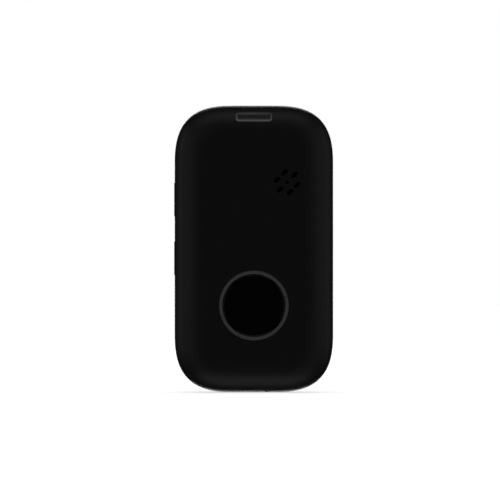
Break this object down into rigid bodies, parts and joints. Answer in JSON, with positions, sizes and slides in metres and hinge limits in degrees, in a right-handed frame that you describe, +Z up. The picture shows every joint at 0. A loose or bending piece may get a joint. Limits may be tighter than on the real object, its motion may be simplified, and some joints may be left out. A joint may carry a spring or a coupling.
{
  "type": "pager",
  "caption": "Pocket pager with a pillow-edged black casing, one large ringed call button, a small speaker grille, side volume keys and a strap slot through the top edge.",
  "frame": {"origin": "middle of the bottom end, at the level of the lowest point of the casing", "axes": "+Z up the long side towards the strap slot; the front face, with the call button and grille, looks along -Y; +X is to the right as seen from the front, so the volume keys are on the -X side"},
  "size_m": [0.0397, 0.015, 0.0716],
  "materials": {
    "casing": "fine spark-eroded black moulding, satin to matte",
    "button_gloss": "polished piano-black cap",
    "light_ring": "smoke-grey diffusing ring, satin",
    "key": "fine matte black",
    "rubber": "soft black elastomer",
    "silicone": "translucent pale grey silicone",
    "nylon": "dark glass-filled nylon",
    "clear_white": "white engineering plastic, semi-gloss",
    "circuit_board": "green solder mask on glass-epoxy laminate",
    "tinned_steel": "tin-plated pressed steel",
    "screw_steel": "black zinc-plated steel",
    "gold": "gold-plated brass",
    "copper": "bare copper foil",
    "ceramic": "fired dielectric ceramic",
    "chip": "black epoxy package",
    "mesh": "fine woven black acoustic mesh",
    "foam": "closed-cell charcoal foam",
    "cone_film": "thin smoke polyester film",
    "pouch_foil": "aluminium-laminate battery pouch",
    "polyimide": "amber polyimide tape",
    "red_wire": "red insulation",
    "black_wire": "black insulation",
    "label": "blank dark satin label film"
  },
  "bodies": {
    "housing": {"front_shell": "casing", "rear_shell": "casing", "shell_gasket": "rubber", "rating_label": "label", "ring_lens": "light_ring", "button_membrane": "silicone", "membrane_retainer": "nylon", "call_switch_base": "nylon", "volume_up_switch": "nylon", "volume_down_switch": "nylon", "speaker_mesh": "mesh", "speaker_gasket": "foam", "speaker_frame": "nylon", "speaker_magnet": "tinned_steel", "motor_can": "tinned_steel", "motor_holder": "rubber", "main_board": "circuit_board", "radio_shield": "tinned_steel", "radio_chip": "chip", "processor_shield": "tinned_steel", "processor_chip": "chip", "gps_antenna": "ceramic", "antenna_carrier": "nylon", "antenna_foil": "copper", "microphone": "gold", "microphone_boot": "rubber", "sim_socket": "tinned_steel", "sim_card": "clear_white", "charge_pin_left": "gold", "charge_contact_left": "gold", "charge_pin_right": "gold", "charge_contact_right": "gold", "battery_cell": "pouch_foil", "battery_circuit": "polyimide", "battery_pad": "foam", "battery_socket": "clear_white", "battery_plug": "clear_white", "battery_lead_red": "red_wire", "battery_lead_black": "black_wire", "case_screw_1": "screw_steel", "ring_led_1": "clear_white", "case_screw_2": "screw_steel", "ring_led_2": "clear_white", "case_screw_3": "screw_steel", "ring_led_3": "clear_white", "case_screw_4": "screw_steel", "ring_led_4": "clear_white", "board_screw_1": "screw_steel", "board_screw_2": "screw_steel", "board_screw_3": "screw_steel"},
    "call_button_body": {"call_button": "button_gloss", "call_switch_stem": "clear_white"},
    "volume_up_body": {"volume_up_key": "key", "volume_up_stem": "clear_white"},
    "volume_down_body": {"volume_down_key": "key", "volume_down_stem": "clear_white"},
    "speaker_cone_body": {"speaker_cone": "cone_film"},
    "motor_rotor": {"motor_shaft": "tinned_steel", "motor_weight": "screw_steel"}
  },
  "joints": [
    {"name": "call_button_press", "type": "slide", "parent": "housing", "child": "call_button_body", "axis": [0, 1, 0], "range_m": [0, 0.00045], "stiffness_N_per_m": 1200, "deforming": ["button_membrane"]},
    {"name": "volume_up_press", "type": "slide", "parent": "housing", "child": "volume_up_body", "axis": [1, 0, 0], "range_m": [0, 0.00025], "stiffness_N_per_m": 1500},
    {"name": "volume_down_press", "type": "slide", "parent": "housing", "child": "volume_down_body", "axis": [1, 0, 0], "range_m": [0, 0.00025], "stiffness_N_per_m": 1500},
    {"name": "speaker_cone_stroke", "type": "slide", "parent": "housing", "child": "speaker_cone_body", "axis": [0, 1, 0], "range_m": [-0.00015, 0.00015], "stiffness_N_per_m": 600},
    {"name": "motor_spin", "type": "hinge", "parent": "housing", "child": "motor_rotor", "pos_m": [0.0126, -0.0032, 0.04], "axis": [0, 0, 1], "continuous": true}
  ]
}
